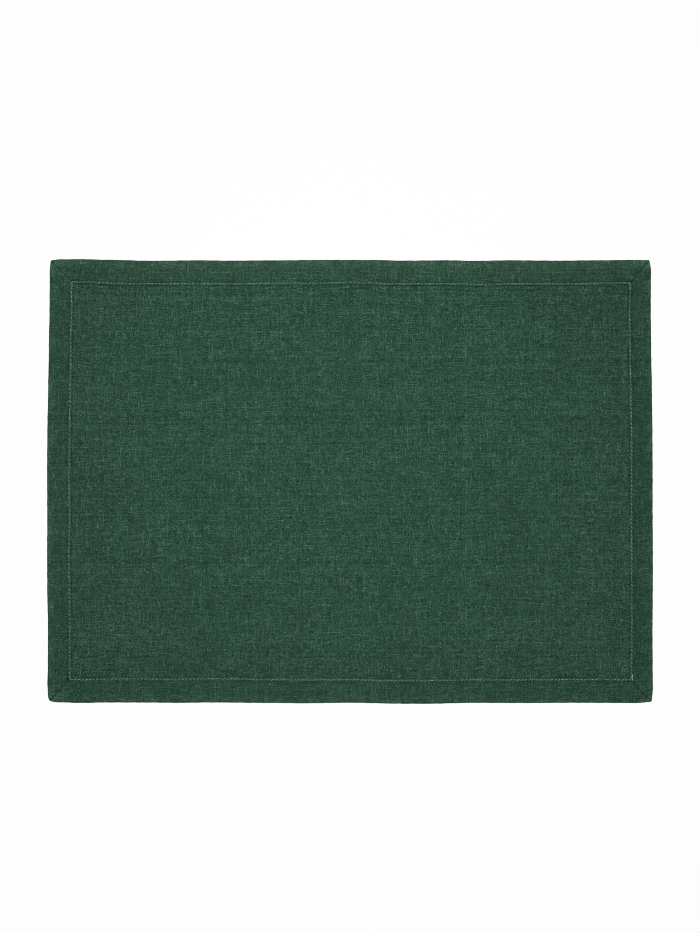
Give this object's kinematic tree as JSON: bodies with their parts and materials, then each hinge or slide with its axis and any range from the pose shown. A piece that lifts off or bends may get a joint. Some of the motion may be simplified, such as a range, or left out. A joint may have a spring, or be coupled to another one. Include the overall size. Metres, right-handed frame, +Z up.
{
  "type": "fabric placemat",
  "caption": "Flat rectangular linen placemat with a wide double-turned hem, mitred corners and a topstitched inner edge, laid under a place setting.",
  "frame": {"origin": "middle of the mat's flat underside, on the surface that it lies on", "axes": "+X along the mat's length, +Y away from the diner, +Z up through the cloth, towards the hem's turned side"},
  "size_m": [0.4814, 0.3532, 0.0023],
  "materials": {
    "linen": "matte plain-weave linen, dark green, slightly slubbed",
    "thread": "matte spun sewing thread, a lighter green than the cloth"
  },
  "bodies": {
    "root": {"linen_cloth": "linen"}
  },
  "joints": []
}
